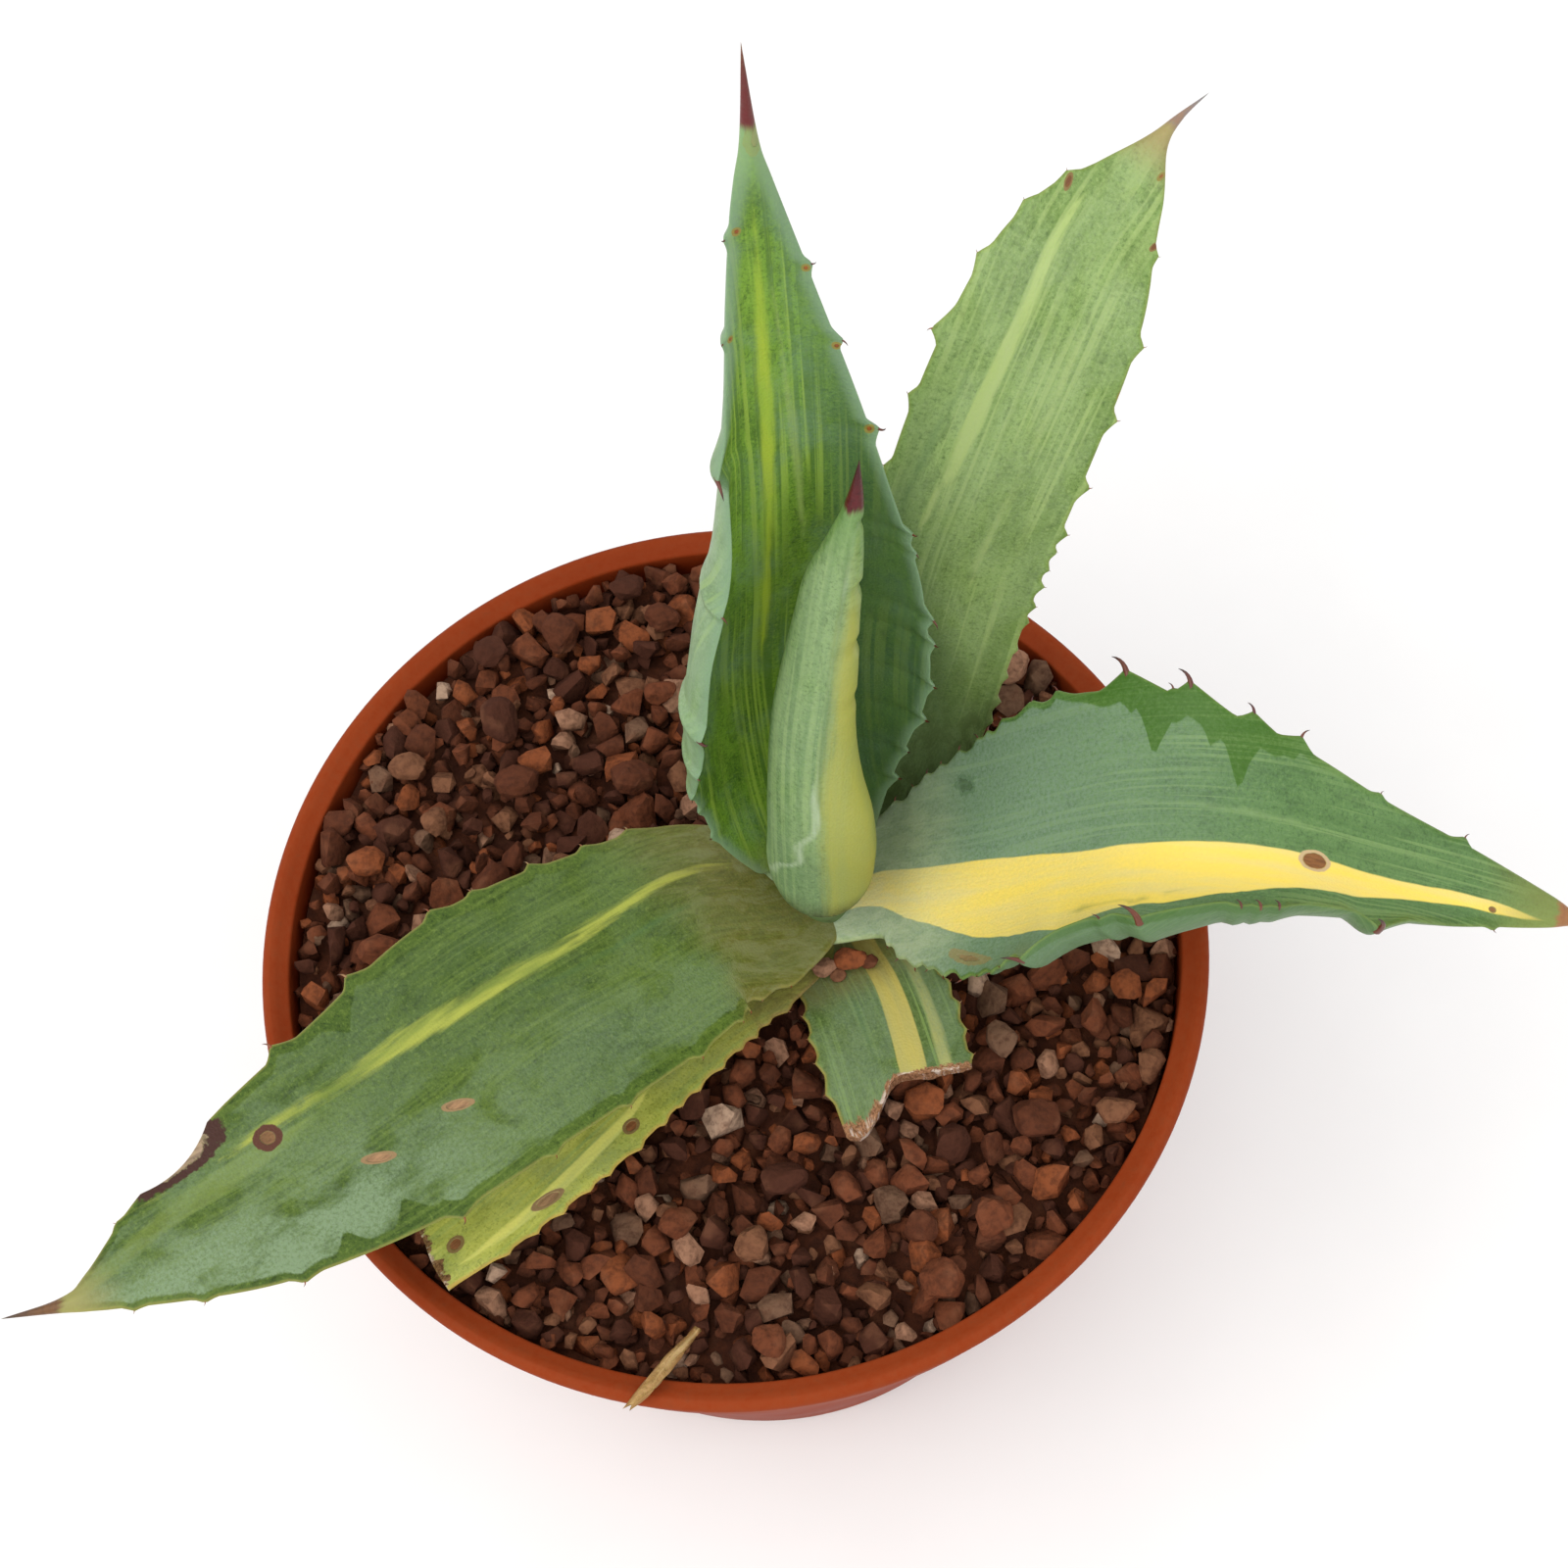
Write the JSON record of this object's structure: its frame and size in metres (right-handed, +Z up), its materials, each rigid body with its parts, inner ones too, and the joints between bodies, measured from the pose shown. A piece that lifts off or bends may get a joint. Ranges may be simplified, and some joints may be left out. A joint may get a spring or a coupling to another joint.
{
  "type": "potted agave",
  "caption": "Young variegated agave with toothed, striped leaves in a round terracotta-brown plastic pot topped with lava chips.",
  "frame": {"origin": "centre of the pot's flat base, on the pot's axis, at the height of the surface it stands on", "axes": "+Z up along the pot's axis; the short cut leaf points along -Y, the arching leaf towards +X and the two low leaves towards -X"},
  "size_m": [0.1895, 0.12, 0.2185],
  "materials": {
    "pot_plastic": "terracotta-brown moulded plastic, satin",
    "leaf": "fleshy green leaf with cream stripes and a waxy blue-grey bloom",
    "stem_tissue": "short green-brown stem",
    "dry_leaf": "dry straw-coloured leaf scrap",
    "lava": "rough red-brown lava chips"
  },
  "bodies": {
    "root": {"pot": "pot_plastic", "lava_bed": "lava", "stem": "stem_tissue", "spear_leaf": "leaf", "inner_leaf": "leaf", "back_leaf": "leaf", "right_leaf": "leaf", "left_leaf": "leaf", "left_under_leaf": "leaf", "cut_leaf": "leaf", "dry_leaf_scrap": "dry_leaf", "lava_stone_01": "lava", "lava_stone_02": "lava", "lava_stone_03": "lava", "lava_stone_04": "lava", "lava_stone_05": "lava", "lava_stone_06": "lava", "lava_stone_07": "lava", "lava_stone_08": "lava", "lava_stone_09": "lava", "lava_stone_10": "lava", "lava_stone_11": "lava", "lava_stone_12": "lava", "lava_stone_13": "lava", "lava_stone_14": "lava", "lava_stone_15": "lava", "lava_stone_16": "lava", "lava_stone_17": "lava", "lava_stone_18": "lava", "lava_stone_19": "lava", "lava_stone_20": "lava", "lava_stone_21": "lava", "lava_stone_22": "lava", "lava_stone_23": "lava", "lava_stone_24": "lava", "lava_stone_25": "lava", "lava_stone_26": "lava", "lava_stone_27": "lava", "lava_stone_28": "lava", "lava_stone_29": "lava", "lava_stone_30": "lava", "lava_stone_31": "lava", "lava_stone_32": "lava", "lava_stone_33": "lava", "lava_stone_34": "lava"}
  },
  "joints": []
}
